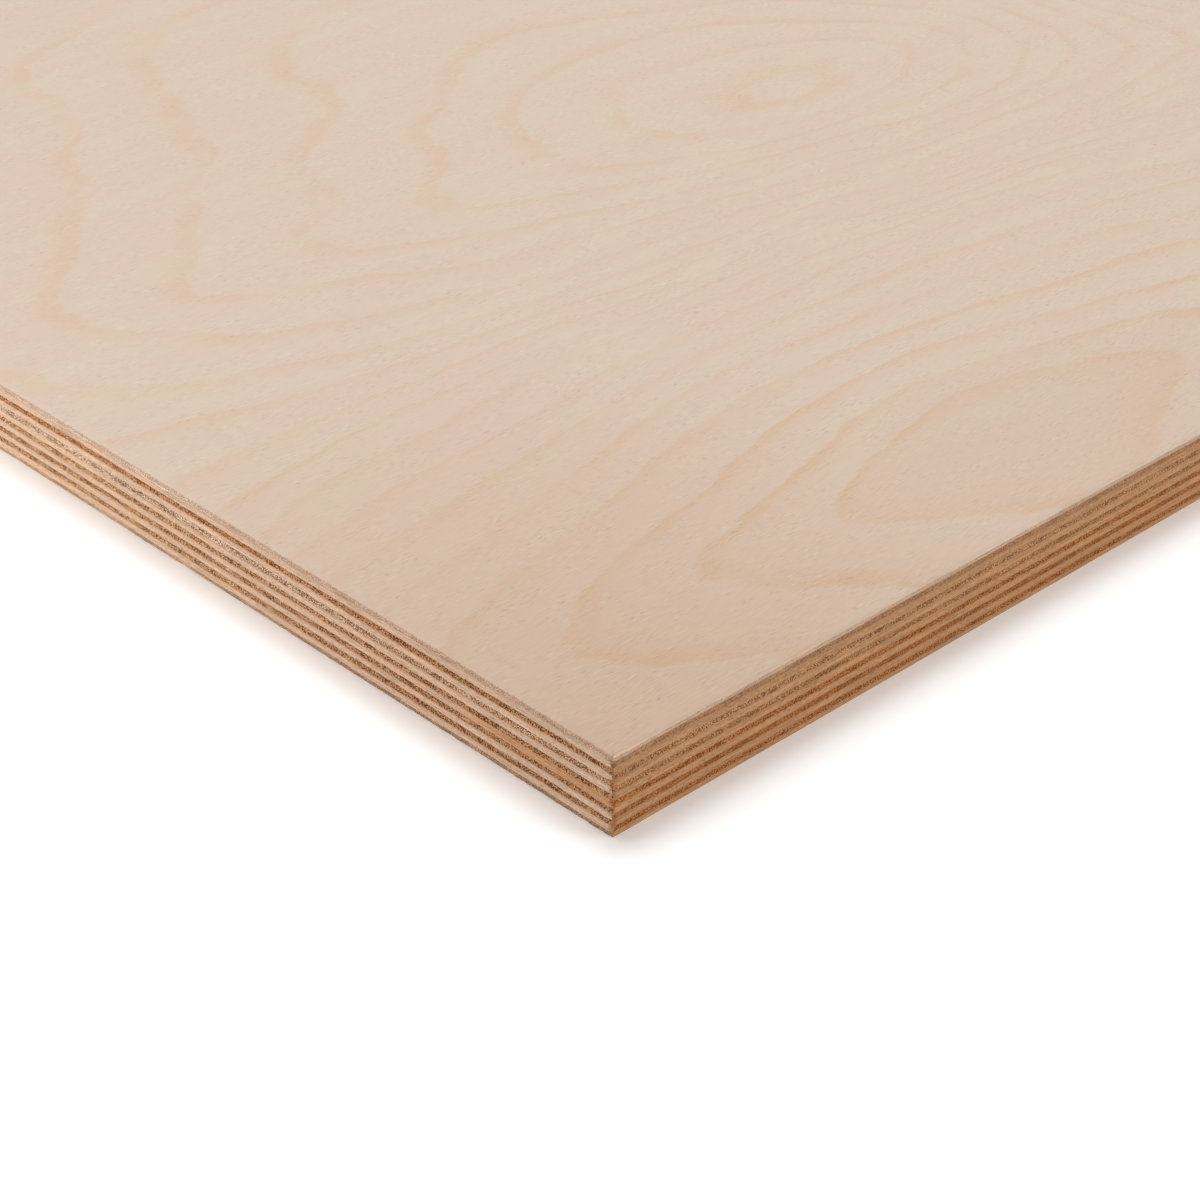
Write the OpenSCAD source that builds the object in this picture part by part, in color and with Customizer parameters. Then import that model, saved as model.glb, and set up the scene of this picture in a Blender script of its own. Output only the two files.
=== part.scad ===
// Plywood sheet: thin veneers glued face to face, each with its grain across the one below.
// The sheet lies flat. Its origin is the middle of its underside, X runs along the face grain
// and Z points up through the plies. All sizes are in millimetres.

/* [Sheet] */
// Length of the sheet, along the grain of its two faces
sheet_length = 1220; // [300:10:3050]
// Width of the sheet, across the grain of its two faces
sheet_width = 610; // [150:10:1525]

/* [Lay-up] */
// Number of plies, odd so that the grain of both faces runs the same way
ply_count = 13; // [3:2:15]
// Thickness of each ply between the two faces
inner_ply_thickness = 1.44; // [1:0.02:3]
// Thickness of the face and back veneers, which are sanded thinner
face_veneer_thickness = 1.08; // [0.6:0.02:2.4]

/* [Sawn edges] */
// Width of the arris that is eased off round the face and the back
arris = 0.3; // [0.1:0.05:0.5]
// Radius worn on the four upright corners
corner_radius = 0.8; // [0.6:0.1:5]

/* [Hidden] */
$fn = 48;

// Between the corners, the straight runs of the two long and the two short edges
long_run = sheet_length - 2 * corner_radius;
short_run = sheet_width - 2 * corner_radius;

// Plies are counted from the face down to the back
face_ply = 1;
back_ply = ply_count;
crossbands = [face_ply + 1 : 2 : back_ply - 1];
core_plies = [face_ply + 2 : 2 : back_ply - 2];

function two_digits(n) = str(n < 10 ? "0" : "", n);
function crossband_name(n) = str("crossband_", two_digits(n));
function core_ply_name(n) = str("core_ply_", two_digits(n));

// Height of the underside of an inner ply or of the face veneer
function ply_base(n) = face_veneer_thickness + (back_ply - 1 - n) * inner_ply_thickness;

// Places its child at the centre of each corner round
module at_corners() {
    for (x = [-long_run / 2, long_run / 2])
        for (y = [-short_run / 2, short_run / 2])
            translate([x, y]) children();
}

// Outline that the saw leaves, shared by every ply
module sheet_outline() {
    square([sheet_length, short_run], center = true);
    square([long_run, sheet_width], center = true);
    at_corners() circle(corner_radius);
}

module flat_ply(thickness) {
    linear_extrude(thickness) sheet_outline();
}

// Cross-section of the band in which an eased edge narrows by the arris on both sides
module eased_section(width) {
    polygon([
        [-width / 2, 0],
        [width / 2, 0],
        [width / 2 - arris, arris],
        [arris - width / 2, arris]
    ]);
}

// The eased band: one section along the sheet, one across it and a cone in each corner
module eased_band() {
    rotate([90, 0, 90]) linear_extrude(long_run, center = true) eased_section(sheet_width);
    rotate([90, 0, 0]) linear_extrude(short_run, center = true) eased_section(sheet_length);
    at_corners() cylinder(arris, corner_radius, corner_radius - arris);
}

// An outer veneer with its glued side down and the arris eased off round its sanded side
module sanded_veneer() {
    square_edge = face_veneer_thickness - arris;
    flat_ply(square_edge);
    translate([0, 0, square_edge]) eased_band();
}

// Face veneer, grain along the sheet, sanded side up
module face_veneer() {
    color("#d6bfac") translate([0, 0, ply_base(face_ply)]) sanded_veneer();
}

// Crossband, grain across the sheet
module crossband(n) {
    color("#cfae8a") translate([0, 0, ply_base(n)]) flat_ply(inner_ply_thickness);
}

// Core ply, grain along the sheet
module core_ply(n) {
    color("#a47a4f") translate([0, 0, ply_base(n)]) flat_ply(inner_ply_thickness);
}

// Back veneer, grain along the sheet, sanded side down
module back_veneer() {
    color("#b2875a") translate([0, 0, face_veneer_thickness]) mirror([0, 0, 1]) sanded_veneer();
}

face_veneer();
for (n = crossbands)
    crossband(n);
for (n = core_plies)
    core_ply(n);
back_veneer();
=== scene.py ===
import math

import bpy
import numpy as np
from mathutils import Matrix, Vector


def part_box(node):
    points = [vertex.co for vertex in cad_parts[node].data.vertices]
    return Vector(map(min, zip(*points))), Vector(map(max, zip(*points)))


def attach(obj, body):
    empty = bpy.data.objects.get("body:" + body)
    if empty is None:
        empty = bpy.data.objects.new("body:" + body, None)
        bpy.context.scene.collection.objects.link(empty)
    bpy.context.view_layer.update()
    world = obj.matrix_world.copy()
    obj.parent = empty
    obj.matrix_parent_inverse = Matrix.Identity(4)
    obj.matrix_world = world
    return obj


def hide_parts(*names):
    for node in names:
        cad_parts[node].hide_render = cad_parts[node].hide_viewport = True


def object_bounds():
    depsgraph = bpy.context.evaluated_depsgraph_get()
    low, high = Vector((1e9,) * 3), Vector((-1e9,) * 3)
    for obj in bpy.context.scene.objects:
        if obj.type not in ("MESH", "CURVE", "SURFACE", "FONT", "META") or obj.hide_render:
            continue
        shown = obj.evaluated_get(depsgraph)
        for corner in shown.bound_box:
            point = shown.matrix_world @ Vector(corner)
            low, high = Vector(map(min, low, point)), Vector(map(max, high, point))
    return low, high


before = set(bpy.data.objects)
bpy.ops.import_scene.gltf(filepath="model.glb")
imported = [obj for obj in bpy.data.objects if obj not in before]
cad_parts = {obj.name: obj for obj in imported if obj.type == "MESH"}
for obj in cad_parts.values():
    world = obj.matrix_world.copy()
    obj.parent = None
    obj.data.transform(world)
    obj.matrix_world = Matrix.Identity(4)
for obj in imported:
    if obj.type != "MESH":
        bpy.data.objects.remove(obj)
cad_low, cad_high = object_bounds()


# Back veneer: a birch log is peeled into one long ribbon, and this piece of it goes down first.
# Its grain runs along the sheet. The underside is sanded, and the saw trims all plies in one pass,
# so the outline, the glue lines and the cut wood below are those of every other ply as well.

MM = 0.001
corner_round = 0.35 * MM
corner_steps = 6
cells_along, cells_across = 30, 15
close_columns, wide_columns = 80, 32
close_cells = 2
corner_crowding = 1.35
flat_inset = 1.6 * MM
flat_round = 0.1 * MM
grid_margin = 20 * MM
ply_names = sorted(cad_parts, key=lambda node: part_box(node)[0].z)
glue_levels = [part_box(node)[0].z for node in ply_names] + [cad_high.z]
lay_up = np.random.default_rng(18)


def cell_columns(cells):
    """Columns in each cell along a side: close together next to the corners, wider apart between."""
    return [close_columns if min(k, cells - 1 - k) < close_cells else wide_columns for k in range(cells)]


def cell_stops(k, columns, cells):
    """Where the columns of a cell stand along it. They crowd towards a corner of the sheet."""
    stops = np.arange(columns) / columns
    if k == 0:
        stops = stops**corner_crowding
    elif k == cells - 1:
        stops = 1 - (1 - stops) ** corner_crowding
    return k + stops


def trim_outline(inset, radius):
    """Points round the trimmed sheet, anticlockwise from its near corner, and the way out at each."""
    reach = np.array([cad_high.x, cad_high.y]) - inset - radius
    centres = reach * [(-1, -1), (1, -1), (1, 1), (-1, 1)]
    points, outward = [], []
    for side in range(4):
        start, end = centres[side], centres[(side + 1) % 4]
        columns = cell_columns(cells_across if side % 2 else cells_along)
        stops = [cell_stops(k, count, len(columns)) for k, count in enumerate(columns)]
        share = np.concatenate([*stops, np.full(corner_steps, len(columns))]) / len(columns)
        facing = math.radians(90 * side - 90)
        turn = np.linspace(facing, facing + math.pi / 2, corner_steps, endpoint=False)
        angles = np.concatenate([np.full(sum(columns), facing), turn])
        spokes = np.stack([np.cos(angles), np.sin(angles)], 1)
        points.append(start + (end - start) * share[:, None] + radius * spokes)
        outward.append(spokes)
    return np.concatenate(points), np.concatenate(outward)


outline, outward = trim_outline(0, corner_round)
flat_ring, _ = trim_outline(flat_inset, flat_round)
outline_count = len(outline)
column_runs = np.linalg.norm(np.roll(outline, -1, 0) - outline, axis=1)
outline_length = column_runs.sum()
along_outline = np.cumsum(column_runs) - column_runs
sheet_corners = np.array([[x, y] for x in (cad_low.x, cad_high.x) for y in (cad_low.y, cad_high.y)])
nearest_corner = np.linalg.norm(outline[:, None] - sheet_corners, axis=2).argmin(1)
from_corner = outline - sheet_corners[nearest_corner]
grid_x = np.linspace(cad_low.x + grid_margin, cad_high.x - grid_margin, cells_along + 1)
grid_y = np.linspace(cad_low.y + grid_margin, cad_high.y - grid_margin, cells_across + 1)
flat_grid = np.stack(np.meshgrid(grid_x, grid_y), -1).reshape(-1, 2)
wave_step = 0.2 * MM


def wander(rows, reach):
    """Random waves round the outline, one in each row, smooth over that length of edge."""
    count = int(outline_length / wave_step)
    swing = np.fft.rfft(lay_up.normal(size=(rows, count)))
    swing *= np.exp(-0.5 * (np.fft.rfftfreq(count, wave_step) * math.tau * reach / 2) ** 2)
    waves = np.fft.irfft(swing, count)
    waves /= waves.std(1, keepdims=True)
    places = np.arange(count) * wave_step
    return np.stack([np.interp(along_outline, places, wave, period=outline_length) for wave in waves])


glue_waver, quiver_share = 0.08 * MM, 0.5
sway_run, quiver_run = 14 * MM, 2.5 * MM
glue_sway = wander(len(glue_levels), sway_run)
glue_quiver = wander(len(glue_levels), quiver_run)
glue_waves = glue_waver * (glue_sway + quiver_share * glue_quiver)
glue_waves[[0, -1]] = 0

tear_depth = 0.07 * MM
tear_grit, tear_sway = (0.045 * MM, 0.5 * MM), (0.02 * MM, 9 * MM)
planed_sway, planed_grit = (0.012 * MM, 8 * MM), (0.006 * MM, 1 * MM)
most_proud = 0.02 * MM
chip_reaches = 0.4, 1.2
splinter_stretch = 1.6, 0.7


def saw_marks(rows, depth, reach):
    """Random waves of that depth and length, one for each row of a wall."""
    return depth * wander(rows, reach)


def sawn_wall(grain, row_heights, end_lips, long_lips, chip):
    """The trimmed side of a ply, row by row: torn where it cuts fibres across, smooth along them."""
    rows = len(row_heights)
    across_fibres = outward[:, grain] ** 2
    torn = tear_depth + saw_marks(rows, *tear_grit) + saw_marks(1, *tear_sway)
    smooth = saw_marks(rows, *planed_sway) + saw_marks(rows, *planed_grit)
    inset = across_fibres * (torn + end_lips[:, None]) + (1 - across_fibres) * (smooth + long_lips[:, None])
    points = outline - outward * np.maximum(inset, -most_proud)[..., None]
    chip_depth = chip * lay_up.uniform(0, 1, (rows, 4))[:, nearest_corner]
    chip_reach = MM * lay_up.uniform(*chip_reaches, (rows, 4))[:, nearest_corner]
    splinter = np.linalg.norm(from_corner / (splinter_stretch[::-1] if grain else splinter_stretch), axis=1)
    chips = chip_depth * np.exp(-((splinter / chip_reach) ** 2))
    inward = -np.sign(sheet_corners[nearest_corner]) / math.sqrt(2)
    return points + inward * chips[..., None]


def cap_faces(ring_start, grid_start, upward):
    """One flat side of a ply: a coarse grid, and fans that join it to the fine ring round it."""
    grid = grid_start + np.arange((cells_along + 1) * (cells_across + 1)).reshape(cells_across + 1, -1)
    faces = [
        [grid[j, i], grid[j, i + 1], grid[j + 1, i + 1], grid[j + 1, i]]
        for j in range(cells_across)
        for i in range(cells_along)
    ]
    grid_edges = [grid[0], grid[:, -1], grid[-1, ::-1], grid[::-1, 0]]
    first = 0
    for edge in grid_edges:
        for k, columns in enumerate(cell_columns(len(edge) - 1)):
            fan = ring_start + first + np.arange(columns + 1)
            faces.append([*fan, edge[k + 1], edge[k]])
            first += columns
        corner = ring_start + (first + np.arange(corner_steps + 1)) % outline_count
        faces.append([*corner, edge[-1]])
        first += corner_steps
    return [[int(v) for v in (face if upward else face[::-1])] for face in faces]


strip_gap = 0.002
strip_room = 1.03
crease_angle = math.radians(50)


def wall_map(row_heights, strips, band):
    """The wall of a ply in its finish map, cut into strips that lie one above the other."""
    strip_length = outline_length / strips
    ends = np.append(along_outline, outline_length)
    strip = np.minimum((ends[:-1] / strip_length).astype(int), strips - 1)
    strip_start, spread = strip * strip_length, strip_room * strip_length
    left, right = ((stop - strip_start) / spread for stop in (ends[:-1], ends[1:]))
    strip_height = (band[1] - band[0]) / strips
    strip_base = band[0] + strip * strip_height
    across = strip_gap + (1 - 2 * strip_gap) * np.stack([left, right, right, left], -1)
    up = strip_gap / 2 + (strip_height - strip_gap) * np.stack([row_heights[:-1], row_heights[1:]], -1)
    rise = strip_base[:, None] + up[:, None, [0, 0, 1, 1]]
    return np.stack([np.broadcast_to(across, rise.shape), rise], -1).reshape(-1, 2)


def at_height(points, z):
    """Points of a plan, lifted to one level."""
    return np.column_stack([points, np.full(len(points), z)])


def veneer_mesh(node, grain, row_heights, end_lips, long_lips, chip, wall_strips, wall_band, cap_bands):
    """A sawn veneer between its two glue lines, with a map that gives its walls room to show their grain."""
    level = ply_names.index(node)
    base, top = glue_levels[level], glue_levels[level + 1]
    floors, roofs = base + glue_waves[level], top + glue_waves[level + 1]
    heights = floors + (roofs - floors) * row_heights[:, None]
    walls = np.dstack([sawn_wall(grain, row_heights, end_lips, long_lips, chip), heights[..., None]])
    vertices = np.concatenate([
        at_height(flat_ring, base),
        walls.reshape(-1, 3),
        at_height(flat_ring, top),
        at_height(flat_grid, base),
        at_height(flat_grid, top),
    ])
    ring_count = len(row_heights) + 2
    rings = np.arange(ring_count * outline_count).reshape(ring_count, outline_count)
    after = np.roll(rings, -1, axis=1)
    quads = np.stack([rings[:-1], after[:-1], after[1:], rings[1:]], -1)
    lower_grid = rings.size
    upper_grid = lower_grid + len(flat_grid)
    lower_cap = quads[0].tolist() + cap_faces(0, lower_grid, False)
    upper_cap = quads[-1].tolist() + cap_faces(int(rings[-1, 0]), upper_grid, True)
    wall_quads = quads[1:-1].reshape(-1, 4).tolist()

    mesh = bpy.data.meshes.new(node)
    mesh.from_pydata(vertices, [], wall_quads + lower_cap + upper_cap)
    mesh.shade_smooth()
    mesh.set_sharp_from_angle(angle=crease_angle)

    flat = (vertices[:, :2] - [cad_low.x, cad_low.y]) / [cad_high.x - cad_low.x, cad_high.y - cad_low.y]
    cap_maps = [
        np.array(corner) + flat[[v for face in cap for v in face]] * np.array(size)
        for cap, (corner, size) in zip((lower_cap, upper_cap), cap_bands)
    ]
    places = np.concatenate([wall_map(row_heights, wall_strips, wall_band), *cap_maps])
    finish_map = mesh.uv_layers.new(name="OFBake")
    finish_map.uv.foreach_set("vector", places.ravel().astype(np.float32))
    return mesh


def on_screen(red, green, blue):
    """A colour as a screen shows it, 0 to 255, turned into the share of light that it reflects."""
    shares = np.array([red, green, blue]) / 255
    linear = np.where(shares <= 0.04045, shares / 12.92, ((shares + 0.055) / 1.055) ** 2.4)
    return (*linear.tolist(), 1.0)


def feed(tree, socket, given):
    """Gives a socket a plain value, or wires another node's output into it."""
    if isinstance(given, bpy.types.NodeSocket):
        tree.links.new(given, socket)
    else:
        socket.default_value = given


def reckon(tree, operation, *terms, clamp=False):
    """A sum on numbers that change over the surface."""
    step = tree.nodes.new("ShaderNodeMath")
    step.operation, step.use_clamp = operation, clamp
    for socket, term in zip(step.inputs, terms):
        feed(tree, socket, term)
    return step.outputs["Value"]


def shift_place(tree, operation, *terms):
    """A sum on places, or a length or a share of one."""
    step = tree.nodes.new("ShaderNodeVectorMath")
    step.operation = operation
    for socket, term in zip(step.inputs, terms):
        feed(tree, socket, term)
    return step.outputs["Value" if operation in ("LENGTH", "DOT_PRODUCT") else "Vector"]


def ease(tree, value, start, end):
    """A soft step from 0 at start to 1 at end."""
    step = tree.nodes.new("ShaderNodeMapRange")
    step.interpolation_type = "SMOOTHSTEP"
    for name, given in (("Value", value), ("From Min", start), ("From Max", end)):
        feed(tree, step.inputs[name], given)
    return step.outputs["Result"]


def tint(tree, share, first, second, way="MIX"):
    """The first colour, with that share of the second mixed into it or multiplied onto it."""
    step = tree.nodes.new("ShaderNodeMix")
    step.data_type, step.blend_type = "RGBA", way
    for name, given in (("Factor_Float", share), ("A_Color", first), ("B_Color", second)):
        feed(tree, next(s for s in step.inputs if s.identifier == name), given)
    return next(s for s in step.outputs if s.identifier == "Result_Color")


def mottle(tree, place, speck, detail=2.0, output="Fac"):
    """Noise whose specks have the given length, width and depth in millimetres."""
    noise = tree.nodes.new("ShaderNodeTexNoise")
    feed(tree, noise.inputs["Vector"], shift_place(tree, "DIVIDE", place, speck))
    noise.inputs["Scale"].default_value = 1.0
    noise.inputs["Detail"].default_value = detail
    return noise.outputs[output]


def effect(name, inputs, outputs):
    """An empty shader group with its sockets, and its input and output nodes."""
    group = bpy.data.node_groups.new(name, "ShaderNodeTree")
    for label, kind in inputs:
        group.interface.new_socket(label, in_out="INPUT", socket_type="NodeSocket" + kind)
    for label, kind in outputs:
        group.interface.new_socket(label, in_out="OUTPUT", socket_type="NodeSocket" + kind)
    return group, group.nodes.new("NodeGroupInput"), group.nodes.new("NodeGroupOutput")


def use_effect(tree, group, **inputs):
    """Puts a shader group into a material with its own values."""
    step = tree.nodes.new("ShaderNodeGroup")
    step.node_tree = group
    for name, given in inputs.items():
        feed(tree, step.inputs[name], given)
    return step.outputs


curl_size, curl_width = (7.0, 3.0, 3.0), 1.8
fibre_size, vessel_size, patch_size = (4.5, 0.4, 0.4), (2.0, 0.3, 0.3), (9.0, 4.0, 4.0)
fibre_base, fibre_light, gloss_light = 0.89, 0.22, 0.07
dash_light, dash_height = -0.13, -0.8


def make_fibre_effect():
    """Long fibres of peeled birch, with the fine dark dashes of the vessels that the knife opened."""
    outputs = [("Light", "Float"), ("Height", "Float")]
    group, given, result = effect("birch fibre", [("Place", "Vector")], outputs)
    curl = mottle(group, given.outputs["Place"], curl_size, 0.0)
    place = shift_place(group, "MULTIPLY_ADD", curl, (0, curl_width, 0), given.outputs["Place"])
    fibres = mottle(group, place, fibre_size, 3.0)
    vessels = mottle(group, place, vessel_size, 0.0)
    patches = ease(group, mottle(group, place, patch_size, 2.0), 0.35, 0.6)
    dash = reckon(group, "MULTIPLY", ease(group, vessels, 0.6, 0.76), patches)
    # Painted highlight: gloss makes small flecks paler, as fibres that catch the light.
    gloss = reckon(group, "MULTIPLY", ease(group, vessels, 0.4, 0.24), patches)
    light = reckon(group, "MULTIPLY_ADD", fibres, fibre_light, fibre_base)
    light = reckon(group, "MULTIPLY_ADD", gloss, gloss_light, light)
    feed(group, result.inputs["Light"], reckon(group, "MULTIPLY_ADD", dash, dash_light, light))
    feed(group, result.inputs["Height"], reckon(group, "MULTIPLY_ADD", dash, dash_height, fibres))
    return group


long_streak, long_fleck, long_grit = (14.0, 0.5, 0.3), (1.6, 0.5, 0.28), (0.6, 0.3, 0.27)
end_layer, end_cluster = (40.0, 9.0, 0.4), (30.0, 5.0, 1.6)
end_vessel, end_ray = (4.0, 0.3, 0.27), (4.0, 0.3, 1.0)
splinter_size = (0.8, 0.8, 1.1)
long_base, streak_light, fleck_light, grit_light = 0.22, 1.2, -0.2, 0.46
layer_base, layer_light = 0.62, 0.8
ray_share, rim_share, char_share = 0.25, 0.6, 0.3
cluster_pull, pit_depth = 0.4, 2.0
burnt_shade, raw_shade = on_screen(134, 96, 64), on_screen(228, 190, 146)


def make_edge_effect():
    """A sawn edge: pale streaky wood along the fibres, brown wood full of cut vessels across them."""
    group, given, result = effect(
        "sawn edge",
        [("Place", "Vector"), ("Up", "Float"), ("End", "Float"), ("Torn", "Float"), ("Specks", "Float"),
         ("Foot", "Float"), ("Fade", "Float"), ("Pale", "Color"), ("Brown", "Color"), ("Seam", "Color")],
        [("Wood", "Color"), ("Height", "Float")],
    )
    place, up, torn = given.outputs["Place"], given.outputs["Up"], given.outputs["Torn"]
    pale, brown, seam_and_highlight = given.outputs["Pale"], given.outputs["Brown"], given.outputs["Seam"]

    streak = mottle(group, place, long_streak, 3.0)
    flecks = ease(group, mottle(group, place, long_fleck, 1.0), 0.5, 0.68)
    grit = mottle(group, place, long_grit, 0.0)
    light = reckon(group, "MULTIPLY_ADD", streak, streak_light, long_base)
    light = reckon(group, "MULTIPLY_ADD", flecks, fleck_light, light)
    light = reckon(group, "MULTIPLY_ADD", grit, grit_light, light)
    long_grain = tint(group, 1.0, pale, light, "MULTIPLY")
    # Near the top of a long-grain wall the wood turns towards the seam colour: resin by a glue line inside
    # the stack, and on the face veneer a painted highlight along its arris.
    resin_and_highlight = reckon(group, "MULTIPLY", ease(group, up, 0.72, 0.98), ease(group, streak, 0.3, 0.75))
    long_grain = tint(group, resin_and_highlight, long_grain, seam_and_highlight)

    layers = mottle(group, place, end_layer, 2.0)
    clusters = mottle(group, place, end_cluster, 2.0)
    vessels = mottle(group, place, end_vessel, 0.0)
    crowd = reckon(group, "MULTIPLY_ADD", clusters, cluster_pull, vessels)
    foot = ease(group, up, 0.0, given.outputs["Foot"])
    body = reckon(group, "MULTIPLY", foot, ease(group, up, 1.05, given.outputs["Fade"]))
    specks = reckon(group, "MULTIPLY", body, given.outputs["Specks"])
    dark = reckon(group, "MULTIPLY", ease(group, crowd, 0.64, 0.77), specks)
    rays = ease(group, mottle(group, place, end_ray, 1.0), 0.52, 0.72)
    # The rims of the end grain take some seam colour as well; on the face veneer that is a painted highlight
    # at its rims.
    end_grain = tint(group, body, tint(group, rim_share, brown, seam_and_highlight), brown)
    light = reckon(group, "MULTIPLY_ADD", layers, layer_light, layer_base)
    end_grain = tint(group, 1.0, end_grain, light, "MULTIPLY")
    end_grain = tint(group, reckon(group, "MULTIPLY", rays, ray_share), end_grain, pale)
    burnt = tint(group, 1.0, brown, burnt_shade, "MULTIPLY")
    end_grain = tint(group, dark, end_grain, burnt)

    wood = tint(group, given.outputs["End"], long_grain, end_grain)
    splinters = ease(group, mottle(group, place, splinter_size, 2.0), 0.5, 0.62)
    raw = tint(group, char_share, tint(group, 1.0, seam_and_highlight, raw_shade, "MULTIPLY"), burnt)
    wood = tint(group, reckon(group, "MULTIPLY", torn, splinters), wood, raw)
    feed(group, result.inputs["Wood"], wood)
    pitted = reckon(group, "SUBTRACT", rays, reckon(group, "MULTIPLY", dark, pit_depth))
    relief = reckon(group, "MULTIPLY", given.outputs["End"], pitted)
    feed(group, result.inputs["Height"], reckon(group, "ADD", relief, streak))
    return group


def make_cut_effect():
    """Which way the wood was cut: across its fibres, upright by the saw, or rubbed round at an arris."""
    inputs = [("Grain", "Vector"), ("Bend", "Float")]
    outputs = [("End", "Float"), ("Edge", "Float"), ("Rounded_arris", "Float")]
    group, given, result = effect("cut wood", inputs, outputs)
    normal = group.nodes.new("ShaderNodeNewGeometry").outputs["Normal"]
    along = shift_place(group, "DOT_PRODUCT", normal, given.outputs["Grain"])
    upright = shift_place(group, "DOT_PRODUCT", normal, (0, 0, 1))
    along, upright = (reckon(group, "ABSOLUTE", way) for way in (along, upright))
    feed(group, result.inputs["End"], ease(group, along, 0.35, 0.75))
    bend = given.outputs["Bend"]
    feed(group, result.inputs["Edge"], ease(group, upright, bend, reckon(group, "MULTIPLY", bend, 0.5)))
    rounded = reckon(group, "MULTIPLY", ease(group, upright, 0.98, 0.85), ease(group, upright, 0.2, 0.5))
    feed(group, result.inputs["Rounded_arris"], reckon(group, "MULTIPLY", rounded, ease(group, along, 0.4, 0.1)))
    return group


fibre_effect = make_fibre_effect()
edge_effect = make_edge_effect()
cut_effect = make_cut_effect()


def veneer_place(tree, where, grain, shift):
    """Where a point lies in its veneer, in millimetres, with the grain along the first axis."""
    turned = tree.nodes.new("ShaderNodeMapping")
    feed(tree, turned.inputs["Vector"], where)
    turned.inputs["Scale"].default_value = (1 / MM,) * 3
    turned.inputs["Rotation"].default_value = (0, 0, -math.pi / 2 * grain)
    turned.inputs["Location"].default_value = shift
    return turned.outputs["Vector"]


bleached_from, bleached_past = cad_low.y + 30 * MM, cad_low.y + 140 * MM
torn_from, torn_within = 1.3, 0.5
glint_from, glint_within = 10.0, 2.0
heart_core = 0.6
sanded_rough, sawn_rough, fibre_rough = 0.5, 0.22, 0.08
relief_strength, relief_depth = 0.6, 0.06 * MM


def birch_material(
    name, node, grain, shift, flat_colour, pale, brown, seam_and_highlight, specks,
    bend=0.98, foot=0.06, fade=0.9, arris_highlight=None, shine=0.02, heart=None, bleached=None,
):
    """Birch veneer with its flat side, its long-grain edges and its end grain."""
    material = bpy.data.materials.new(name)
    material.use_nodes = True
    tree = material.node_tree
    shader = tree.nodes["Principled BSDF"]
    where = tree.nodes.new("ShaderNodeTexCoord").outputs["Object"]
    place = veneer_place(tree, where, grain, shift)
    cut = use_effect(tree, cut_effect, Grain=(0, 1, 0) if grain else (1, 0, 0), Bend=bend)
    fibre = use_effect(tree, fibre_effect, Place=place)

    axes = tree.nodes.new("ShaderNodeSeparateXYZ")
    feed(tree, axes.inputs["Vector"], where)
    rise = tree.nodes.new("ShaderNodeMapRange")
    ply_low, ply_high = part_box(node)
    for socket, value in (("Value", axes.outputs["Z"]), ("From Min", ply_low.z), ("From Max", ply_high.z)):
        feed(tree, rise.inputs[socket], value)
    inwards = shift_place(tree, "SUBTRACT", (cad_high.x, cad_high.y, 0), shift_place(tree, "ABSOLUTE", where))
    inwards = shift_place(tree, "MULTIPLY", inwards, (1 / MM, 1 / MM, 0))
    off_corner = shift_place(tree, "LENGTH", inwards)
    torn = ease(tree, off_corner, torn_from, torn_within)
    if heart:
        heart_at, heart_reach, heart_tan = heart
        along = reckon(tree, "SUBTRACT", axes.outputs["Y" if grain else "X"], heart_at)
        inside = ease(tree, reckon(tree, "ABSOLUTE", along), heart_reach, heart_core * heart_reach)
        pale = tint(tree, inside, pale, heart_tan)
    # The end grain's brown turns towards a paler one further along the short edges, away from the near long
    # edge.
    if bleached:
        brown = tint(tree, ease(tree, axes.outputs["Y"], bleached_from, bleached_past), brown, bleached)

    edge = use_effect(
        tree, edge_effect, Place=place, Up=rise.outputs["Result"], End=cut["End"], Torn=torn,
        Specks=specks, Foot=foot, Fade=fade, Pale=pale, Brown=brown, Seam=seam_and_highlight,
    )
    flat = flat_colour(tree, place, inwards) if callable(flat_colour) else flat_colour
    flat = tint(tree, 1.0, flat, fibre["Light"], "MULTIPLY")
    wood = tint(tree, cut["Edge"], flat, edge["Wood"])
    # Painted highlight: the rounded arris of the long-grain edges is made paler, most of all within about 10
    # mm of a corner.
    if arris_highlight:
        edge_highlight, corner_highlight = arris_highlight
        corner_glint = ease(tree, off_corner, glint_from, glint_within)
        highlight_share = reckon(tree, "MULTIPLY_ADD", corner_glint, corner_highlight, edge_highlight)
        wood = tint(tree, 1.0, wood, reckon(tree, "MULTIPLY_ADD", cut["Rounded_arris"], highlight_share, 1.0), "MULTIPLY")
    feed(tree, shader.inputs["Base Color"], wood)
    rough = reckon(tree, "MULTIPLY_ADD", cut["Edge"], sawn_rough, sanded_rough)
    feed(tree, shader.inputs["Roughness"], reckon(tree, "MULTIPLY_ADD", fibre["Height"], fibre_rough, rough))
    shader.inputs["Specular IOR Level"].default_value = shine
    relief = tree.nodes.new("ShaderNodeMix")
    for socket, value in ((0, cut["Edge"]), (2, fibre["Height"]), (3, edge["Height"])):
        feed(tree, relief.inputs[socket], value)
    bump = tree.nodes.new("ShaderNodeBump")
    bump.inputs["Strength"].default_value = relief_strength
    bump.inputs["Distance"].default_value = relief_depth
    feed(tree, bump.inputs["Height"], relief.outputs[0])
    feed(tree, shader.inputs["Normal"], bump.outputs["Normal"])
    return material


def lay_veneer(node, mesh, material):
    """Puts a dressed ply in the place of its plain one."""
    mesh.materials.append(material)
    piece = bpy.data.objects.new("birch_" + node, mesh)
    bpy.context.scene.collection.objects.link(piece)
    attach(piece, "root")
    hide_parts(node)


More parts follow.
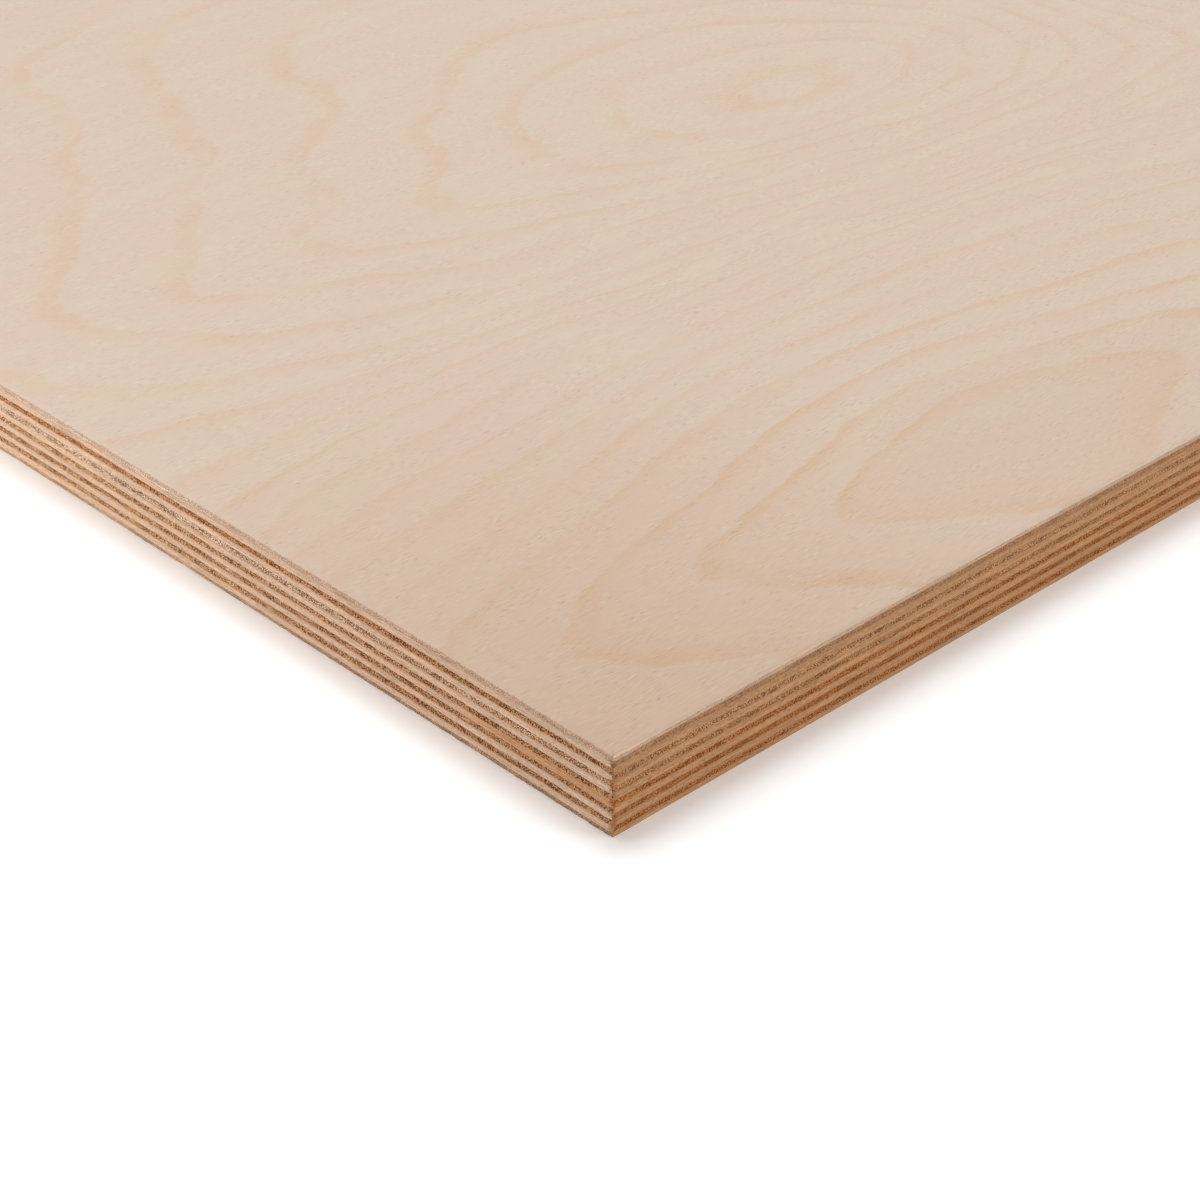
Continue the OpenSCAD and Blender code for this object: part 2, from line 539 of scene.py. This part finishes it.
def make_ring_effect():
    """Growth rings as the knife meets them: each ring darkens slowly and ends in a thin line."""
    outputs = [("Line", "Float"), ("Halo", "Float")]
    group, given, result = effect("growth rings", [("Rings", "Float")], outputs)
    phase = reckon(group, "FRACT", given.outputs["Rings"])
    stop = ease(group, phase, 1.0, 0.92)
    feed(group, result.inputs["Line"], reckon(group, "MULTIPLY", ease(group, phase, 0.66, 0.92), stop))
    feed(group, result.inputs["Halo"], reckon(group, "MULTIPLY", ease(group, phase, 0.1, 0.9), stop))
    return group


ring_effect = make_ring_effect()
right_through = 1e6
swirl_size, rings_in_swirl = (520.0, 120.0, right_through), 26.0
sway_size, sway_reach = (110.0, 36.0, right_through), (50.0, 18.0, 0)
ripple_size, ripple_reach = (18.0, 5.0, right_through), (8.0, 4.5, 0)
cream_size, faint_size = (46.0, 8.0, right_through), (70.0, 16.0, right_through)
loose_size = (1.2, 0.4, right_through)
ring_tan, ring_boldness = (0.97, 0.84, 0.67, 1.0), 0.55
line_share, faintest_line, halo_share = 0.6, 0.06, 0.16
loose_base, loose_share = 0.2, 1.6
near_within, near_until = 310.0, 530.0
bold_until, bold_within = 5.0, 2.5
heart_until, heart_share = 3.0, 0.35
warm_until, warm_within = 180.0, -10.0
fray_reach, fray_share = -0.3, 0.6


def stray(tree, place, size, detail, reach):
    """A random push to either side, at most about half of that reach."""
    push = shift_place(tree, "SUBTRACT", mottle(tree, place, size, detail, "Color"), (0.5,) * 3)
    return shift_place(tree, "MULTIPLY", push, reach)


def sanded_figure(pink, cream, fray_brown, near_rings=None, warm=None):
    """Colour of a sanded side: rings that wander round swirls, and frayed fibre ends at its rim."""

    def flat_colour(tree, place, inwards):
        sway = stray(tree, place, sway_size, 1.0, sway_reach)
        ripple = stray(tree, place, ripple_size, 2.0, ripple_reach)
        swayed = shift_place(tree, "ADD", place, shift_place(tree, "ADD", sway, ripple))
        rings = reckon(tree, "MULTIPLY", mottle(tree, swayed, swirl_size, 0.0), rings_in_swirl)
        patches = ease(tree, mottle(tree, swayed, cream_size, 3.0), 0.42, 0.66)
        wood = tint(tree, patches, pink, cream)
        bold = ring_boldness
        if near_rings:
            near = shift_place(tree, "LENGTH", shift_place(tree, "MULTIPLY", place, (1, 1, 0)))
            counted = near_rings(tree, swayed)
            close = ease(tree, near, near_until, near_within)
            rings = reckon(tree, "MULTIPLY_ADD", close, reckon(tree, "SUBTRACT", counted, rings), rings)
            bold = reckon(tree, "MULTIPLY_ADD", ease(tree, counted, bold_until, bold_within), 1 - bold, bold)
            heart = reckon(tree, "MULTIPLY", ease(tree, counted, heart_until, 0.0), heart_share)
            # Painted shade: within about 180 mm of the near corner the face is darker and warmer, in place of
            # the paler sheen and light further off. Near a swirl's heart the warmer tone is the wood's own.
            warmed = reckon(tree, "MAXIMUM", ease(tree, near, warm_until, warm_within), heart)
            wood = tint(tree, warmed, wood, warm)
        grown = use_effect(tree, ring_effect, Rings=rings)
        faint = ease(tree, mottle(tree, place, faint_size, 3.0), 0.3, 0.7)
        weight = reckon(tree, "MULTIPLY_ADD", faint, line_share, faintest_line)
        line = reckon(tree, "MULTIPLY", grown["Line"], weight)
        line = reckon(tree, "MULTIPLY_ADD", grown["Halo"], halo_share, line, clamp=True)
        loose = mottle(tree, place, loose_size, 2.0)
        line = reckon(tree, "MULTIPLY", line, reckon(tree, "MULTIPLY_ADD", loose, loose_share, loose_base))
        wood = tint(tree, reckon(tree, "MULTIPLY", line, bold), wood, ring_tan, "MULTIPLY")

        axes = tree.nodes.new("ShaderNodeSeparateXYZ")
        feed(tree, axes.inputs["Vector"], inwards)
        fray = ease(tree, reckon(tree, "SUBTRACT", axes.outputs["X"], loose), 0.0, fray_reach)
        return tint(tree, reckon(tree, "MULTIPLY", fray, fray_share), wood, fray_brown)

    return flat_colour


sanded_heights = np.array([0, 0.3, 0.55, 0.7, 0.82, 0.94, 1])
soft_arris = np.array([0.05, 0.01, 0.0, 0.02, 0.08, 0.22, 0.4]) * MM
crisp_arris = np.array([0.05, 0.01, 0.0, 0.0, 0.01, 0.03, 0.08]) * MM
small_chip = 0.25 * MM
sanded_bend = 0.75
sanded_walls = 12, (0.05, 0.165)
hidden_side = (0.005, 0.004), (0.99, 0.036)
sanded_side = (0.002, 0.175), (0.996, 0.823)
seam_orange = on_screen(210, 156, 106)
back_shift = 410.0, -95.0, 0

back_lips = crisp_arris[::-1]
back_mesh = veneer_mesh(
    "back_veneer", 0, 1 - sanded_heights[::-1], back_lips, back_lips, small_chip, *sanded_walls,
    (sanded_side, hidden_side),
)
back_figure = sanded_figure(
    pink=on_screen(214, 190, 171), cream=on_screen(212, 195, 173), fray_brown=on_screen(160, 116, 82)
)
back_birch = birch_material(
    "sanded back birch", "back_veneer", 0, back_shift, back_figure,
    pale=on_screen(217, 168, 120), brown=on_screen(206, 168, 134), seam_and_highlight=seam_orange, specks=0.75,
    bend=sanded_bend, shine=0.25, bleached=on_screen(223, 188, 152),
)
lay_veneer("back_veneer", back_mesh, back_birch)


# Crossbands: six inner plies of the same peeled birch, laid with their grain across the sheet.
# On the short edges of the sheet they show pale long grain, on the long edges dark end grain,
# where the saw tore the fibres and left the cut a little deeper.

inner_heights = np.array([0, 0.1, 0.35, 0.65, 0.88, 1])
inner_end_lips = np.array([0.02, 0.0, 0.0, 0.01, 0.03, 0.06]) * MM
inner_long_lips = np.array([0.02, 0.0, 0.0, 0.0, 0.02, 0.12]) * MM
inner_walls = 36, (0.14, 0.998)
inner_sides = ((0.505, 0.005), (0.49, 0.125)), ((0.005, 0.005), (0.49, 0.125))
chip_depths = 0.35 * MM, 1.0 * MM
ply_shift = 173.0, 61.0


def lay_inner_ply(node, grain, slot, tone, flat, pale, **marks):
    """One inner ply. Its tone makes its long grain a little darker or lighter than its neighbours'."""
    number = int(node[-2:])
    shift = (ply_shift[0] * number, ply_shift[1] * number, 0)
    chip = lay_up.uniform(*chip_depths)
    mesh = veneer_mesh(
        node, grain, inner_heights, inner_end_lips, inner_long_lips, chip, *inner_walls, inner_sides
    )
    pale = (*(tone * share for share in pale[:3]), 1.0)
    wood = birch_material(
        f"peeled birch {number}", node, grain, shift, flat, pale=pale, seam_and_highlight=seam_orange, **marks
    )
    lay_veneer(node, mesh, wood)


crossbands = {
    2: (0.93, on_screen(202, 153, 115), 0.5),
    4: (0.98, on_screen(217, 163, 118), 0.8),
    6: (0.97, on_screen(213, 155, 107), 0.7),
    8: (0.96, on_screen(211, 142, 90), 0.8),
    10: (0.98, on_screen(204, 134, 83), 0.65),
    12: (1.03, on_screen(225, 153, 97), 0.8),
}
heartwood_ply = 8
heartwood = cad_low.y, 48 * MM, on_screen(198, 151, 114)
for ply, (tone, brown, specks) in crossbands.items():
    lay_inner_ply(
        f"crossband_{ply:02}", 1, "birch_crossband", tone,
        flat=on_screen(214, 168, 118), pale=on_screen(215, 183, 157), brown=brown,
        specks=specks, foot=0.15, fade=0.75,
        heart=heartwood if ply == heartwood_ply else None,
    )


# Core plies: five inner plies of peeled birch with their grain along the sheet, between crossbands.
# They are the dark speckled bands on the short edges and the tan bands on the long edges.
# Their end grain turns paler further along the short edges, from 30 to 140 mm past the near long edge.

core_brown, light_brown = on_screen(202, 151, 111), on_screen(215, 170, 134)
core_plies = {
    3: (0.91, core_brown, core_brown),
    5: (0.99, light_brown, on_screen(231, 200, 171)),
    7: (0.97, core_brown, on_screen(216, 174, 132)),
    9: (0.99, core_brown, on_screen(213, 167, 125)),
    11: (1.0, core_brown, on_screen(217, 175, 133)),
}
for ply, (tone, brown, bleached) in core_plies.items():
    lay_inner_ply(
        f"core_ply_{ply:02}", 0, "birch_core", tone,
        flat=on_screen(208, 160, 110), pale=on_screen(214, 164, 120), brown=brown, bleached=bleached,
        specks=0.95, fade=0.9,
    )


# Face veneer: the best veneer of the stack, laid last, with its grain along the sheet.
# Its upper side is sanded smooth, and sanding has eased the arris all round it.

face_mesh = veneer_mesh(
    "face_veneer", 0, sanded_heights, soft_arris, soft_arris, small_chip, *sanded_walls,
    (hidden_side, sanded_side),
)
near_corner = (-cad_low.x / MM, -cad_low.y / MM, 0)
swirl_along, swirl_across = 150.0, 31.0
swirl_length, swirl_far_width, swirl_near_width = 38.0, 12.0, 26.0
swirl_power = 1.5
first_ring, last_ring, last_blend = 0.5, 9.95, 1.5
slope_length, slope_rise, slope_from, slope_to = 36.0, 2.6, 100.0, 215.0
turn_from, turn_width, least_turn = 192.5, 50.0, 0.45


def corner_rings(tree, place):
    """Rings over the near corner: a swirl beside the long edge, and a slope from it to the next one."""
    axes = tree.nodes.new("ShaderNodeSeparateXYZ")
    feed(tree, axes.inputs["Vector"], place)
    along, across = axes.outputs["X"], axes.outputs["Y"]
    run = reckon(tree, "MULTIPLY_ADD", along, 1 / swirl_length, -swirl_along / swirl_length)
    aside = reckon(tree, "SUBTRACT", across, swirl_across)
    beyond, before = (reckon(tree, "DIVIDE", aside, width) for width in (swirl_far_width, -swirl_near_width))
    aside = reckon(tree, "MAXIMUM", beyond, before)
    run, aside = (reckon(tree, "POWER", reckon(tree, "ABSOLUTE", way), swirl_power) for way in (run, aside))
    swirl = reckon(tree, "POWER", reckon(tree, "ADD", run, aside), 1 / swirl_power)
    swirl = reckon(tree, "SMOOTH_MIN", reckon(tree, "MAXIMUM", swirl, first_ring), last_ring, last_blend)
    lean = reckon(tree, "MULTIPLY_ADD", along, 1 / slope_length, slope_rise)
    slope = reckon(tree, "MULTIPLY_ADD", lean, ease(tree, across, slope_from, slope_to), swirl)
    turn = reckon(tree, "DIVIDE", reckon(tree, "SUBTRACT", across, turn_from), turn_width)
    return reckon(tree, "SUBTRACT", slope, reckon(tree, "MAXIMUM", turn, least_turn))


face_figure = sanded_figure(
    pink=on_screen(218, 195, 178), cream=on_screen(217, 199, 179), fray_brown=on_screen(174, 126, 98),
    near_rings=corner_rings, warm=on_screen(207, 179, 156),
)
face_birch = birch_material(
    "sanded face birch", "face_veneer", 0, near_corner, face_figure,
    # The face's seam colour is a painted highlight: pale cream along the top of its sawn edges.
    pale=on_screen(217, 184, 153), brown=on_screen(214, 178, 150), seam_and_highlight=on_screen(242, 216, 190), specks=0.6,
    # The face's eased arris is painted paler as a highlight, brightest near the corners.
    bend=sanded_bend, arris_highlight=(0.2, 0.2), shine=0.2, bleached=on_screen(223, 194, 170),
)
lay_veneer("face_veneer", face_mesh, face_birch)


# Ground: a plain white floor under the sheet, which takes its soft shadow and is white past it.
# The sheet is pressed a hair into it, so that its underside is there to see from below as well.

half_ground = 7.0
ground_level = cad_low.z + 0.05 * MM
shadow_warmth = (1, 0.92, 0.85, 1)
shadow_glow, open_glow, far_glow = 0.17, 0.045, 0.4
open_from, open_past = 2 * MM, 8 * MM
far_from, far_past = 0.2, 1.1
ground_mesh = bpy.data.meshes.new("ground")
ground_corners = [
    (x * half_ground, y * half_ground, ground_level) for x, y in ((-1, -1), (1, -1), (1, 1), (-1, 1))
]
ground_mesh.from_pydata(ground_corners, [], [(0, 1, 2, 3)])
ground = bpy.data.objects.new("ground", ground_mesh)
bpy.context.scene.collection.objects.link(ground)


def backdrop_seen(tree):
    """1 where a ray comes from the camera, a reflection or glass, and 0 where it only brings light."""
    path = tree.nodes.new("ShaderNodeLightPath")
    seen = reckon(tree, "MAXIMUM", path.outputs["Is Camera Ray"], path.outputs["Is Glossy Ray"])
    return reckon(tree, "MAXIMUM", seen, path.outputs["Is Transmission Ray"])


ground_paint = bpy.data.materials.new("white ground")
ground_paint.use_nodes = True
ground_tree = ground_paint.node_tree
ground_shader = ground_tree.nodes["Principled BSDF"]
ground_shader.inputs["Base Color"].default_value = (0.95, 0.945, 0.94, 1)
ground_shader.inputs["Roughness"].default_value = 0.9
ground_shader.inputs["Specular IOR Level"].default_value = 0.0
ground_place = ground_tree.nodes.new("ShaderNodeTexCoord").outputs["Object"]
past_edge = shift_place(ground_tree, "SUBTRACT", shift_place(ground_tree, "ABSOLUTE", ground_place), cad_high)
past_edge = shift_place(ground_tree, "LENGTH", shift_place(ground_tree, "MAXIMUM", past_edge, (0, 0, 0)))
open_floor = ease(ground_tree, past_edge, open_from, open_past)
far_floor = ease(ground_tree, past_edge, far_from, far_past)
# Painted light in the shadow: next to the sheet the glow is tinted warm, a painted bounce from the wood, and
# from 2 to 8 mm out it grows a little, which paints the outer shadow lighter.
glow = reckon(ground_tree, "MULTIPLY_ADD", open_floor, open_glow, shadow_glow)
glow = reckon(ground_tree, "MULTIPLY_ADD", far_floor, far_glow, glow)
glow = reckon(ground_tree, "MULTIPLY", backdrop_seen(ground_tree), glow)
glow_colour = tint(ground_tree, open_floor, shadow_warmth, (1, 1, 1, 1))
feed(ground_tree, ground_shader.inputs["Emission Color"], glow_colour)
feed(ground_tree, ground_shader.inputs["Emission Strength"], glow)
ground_mesh.materials.append(ground_paint)


# Light: a white studio all round, brighter below the floor, where only the underside gets it.
# A soft lamp stands high up behind the corner and a weak one in front of it. A small one low at its
# left brightens the short edge away from the corner, and doesn't mirror in the face.

studio_level, below_level = 0.4, 1.0
studio = bpy.data.worlds.new("white studio")
bpy.context.scene.world = studio
studio.use_nodes = True
studio_tree = studio.node_tree
studio_light = studio_tree.nodes["Background"]
studio_place = studio_tree.nodes.new("ShaderNodeTexCoord").outputs["Generated"]
studio_way = studio_tree.nodes.new("ShaderNodeSeparateXYZ")
feed(studio_tree, studio_way.inputs["Vector"], studio_place)
below = reckon(studio_tree, "LESS_THAN", studio_way.outputs["Z"], 0.0)
light_round = reckon(studio_tree, "MULTIPLY_ADD", below, below_level - studio_level, studio_level)
in_view = reckon(studio_tree, "MAXIMUM", backdrop_seen(studio_tree), light_round)
studio_light.inputs["Color"].default_value = (1, 1, 1, 1)
feed(studio_tree, studio_light.inputs["Strength"], in_view)

corner_at = np.array([cad_low.x, cad_low.y, cad_high.z])
lamp_aim = corner_at + np.array([100, 100, 0]) * MM
lamps = {
    "high lamp": ((450, 1020, 2550), 1.8, 40.0),
    "left lamp": ((-300, 310, 45), 0.1, 0.55),
    "front lamp": ((1020, -1140, 1770), 0.9, 7.2),
}
for name, (lamp_from_corner, size, power) in lamps.items():
    lamp_data = bpy.data.lights.new(name, "AREA")
    lamp_data.shape = "DISK"
    lamp_data.size = size
    lamp_data.energy = power
    lamp = bpy.data.objects.new(name, lamp_data)
    lamp.location = corner_at + np.array(lamp_from_corner) * MM
    lamp.rotation_euler = Vector(lamp_aim - lamp.location).to_track_quat("-Z", "Y").to_euler()
    bpy.context.scene.collection.objects.link(lamp)
bpy.data.objects["left lamp"].visible_glossy = False


# Camera: a short telephoto lens close to the near corner of the sheet.
# It looks down along the middle of the corner, so that the face and both sawn edges show.

camera_from_corner = np.array([-263.5, -274.3, 270.0]) * MM
camera_pitch, camera_heading = 31.9, 46.49
camera_data = bpy.data.cameras.new("camera")
camera_data.sensor_width = 36.0
camera_data.lens = 78.12
camera_data.clip_start = 0.01
camera = bpy.data.objects.new("camera", camera_data)
camera.location = corner_at + camera_from_corner
camera.rotation_euler = (math.radians(90 - camera_pitch), 0, math.radians(camera_heading - 90))
bpy.context.scene.collection.objects.link(camera)
bpy.context.scene.camera = camera
bpy.context.scene.view_settings.view_transform = "Standard"
